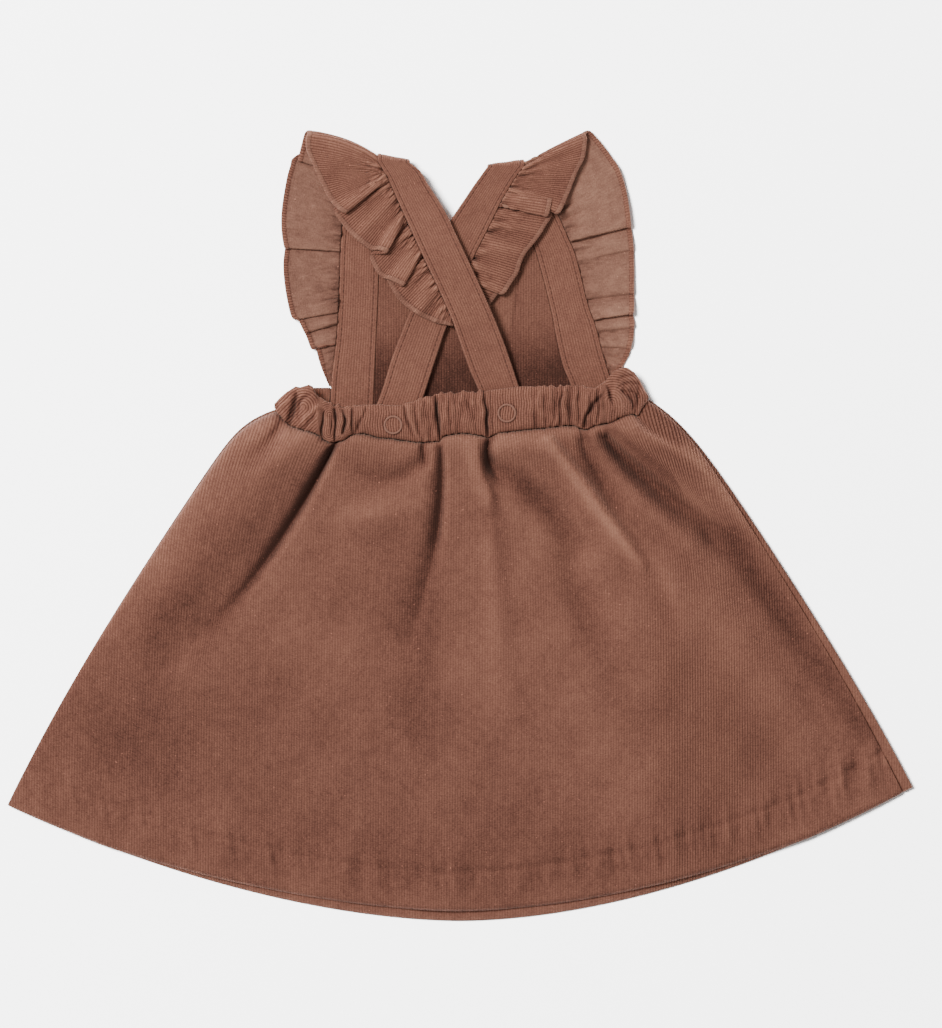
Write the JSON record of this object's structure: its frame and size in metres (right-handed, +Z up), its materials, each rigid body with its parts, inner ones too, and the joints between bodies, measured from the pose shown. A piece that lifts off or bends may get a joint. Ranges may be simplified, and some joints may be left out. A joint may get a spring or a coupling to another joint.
{
  "type": "pinafore dress",
  "caption": "Child's pinafore dress in fine corduroy, laid flat with its back up: crossed ruffled straps, bib, elastic back waist and an A-line skirt",
  "frame": {"origin": "on the surface that the dress lies on, under the centre of its bounding box", "axes": "+X across the dress towards the right of the view, +Y from the hem to the shoulders, +Z up from the surface; the front of the dress faces down"},
  "size_m": [0.479, 0.4188, 0.0187],
  "materials": {
    "corduroy": "fine wale cotton corduroy, brushed pile",
    "ruffle_corduroy": "fine wale cotton corduroy, smooth wrong side",
    "snap": "painted ring snap, satin"
  },
  "bodies": {
    "root": {"skirt_front": "corduroy", "skirt_back": "corduroy", "waistband_front": "corduroy", "waistband_back": "corduroy", "bib": "corduroy", "strap_left": "corduroy", "strap_right": "corduroy", "ruffle_left": "ruffle_corduroy", "ruffle_right": "ruffle_corduroy", "snap_ring_left": "snap", "snap_ring_right": "snap"}
  },
  "joints": []
}
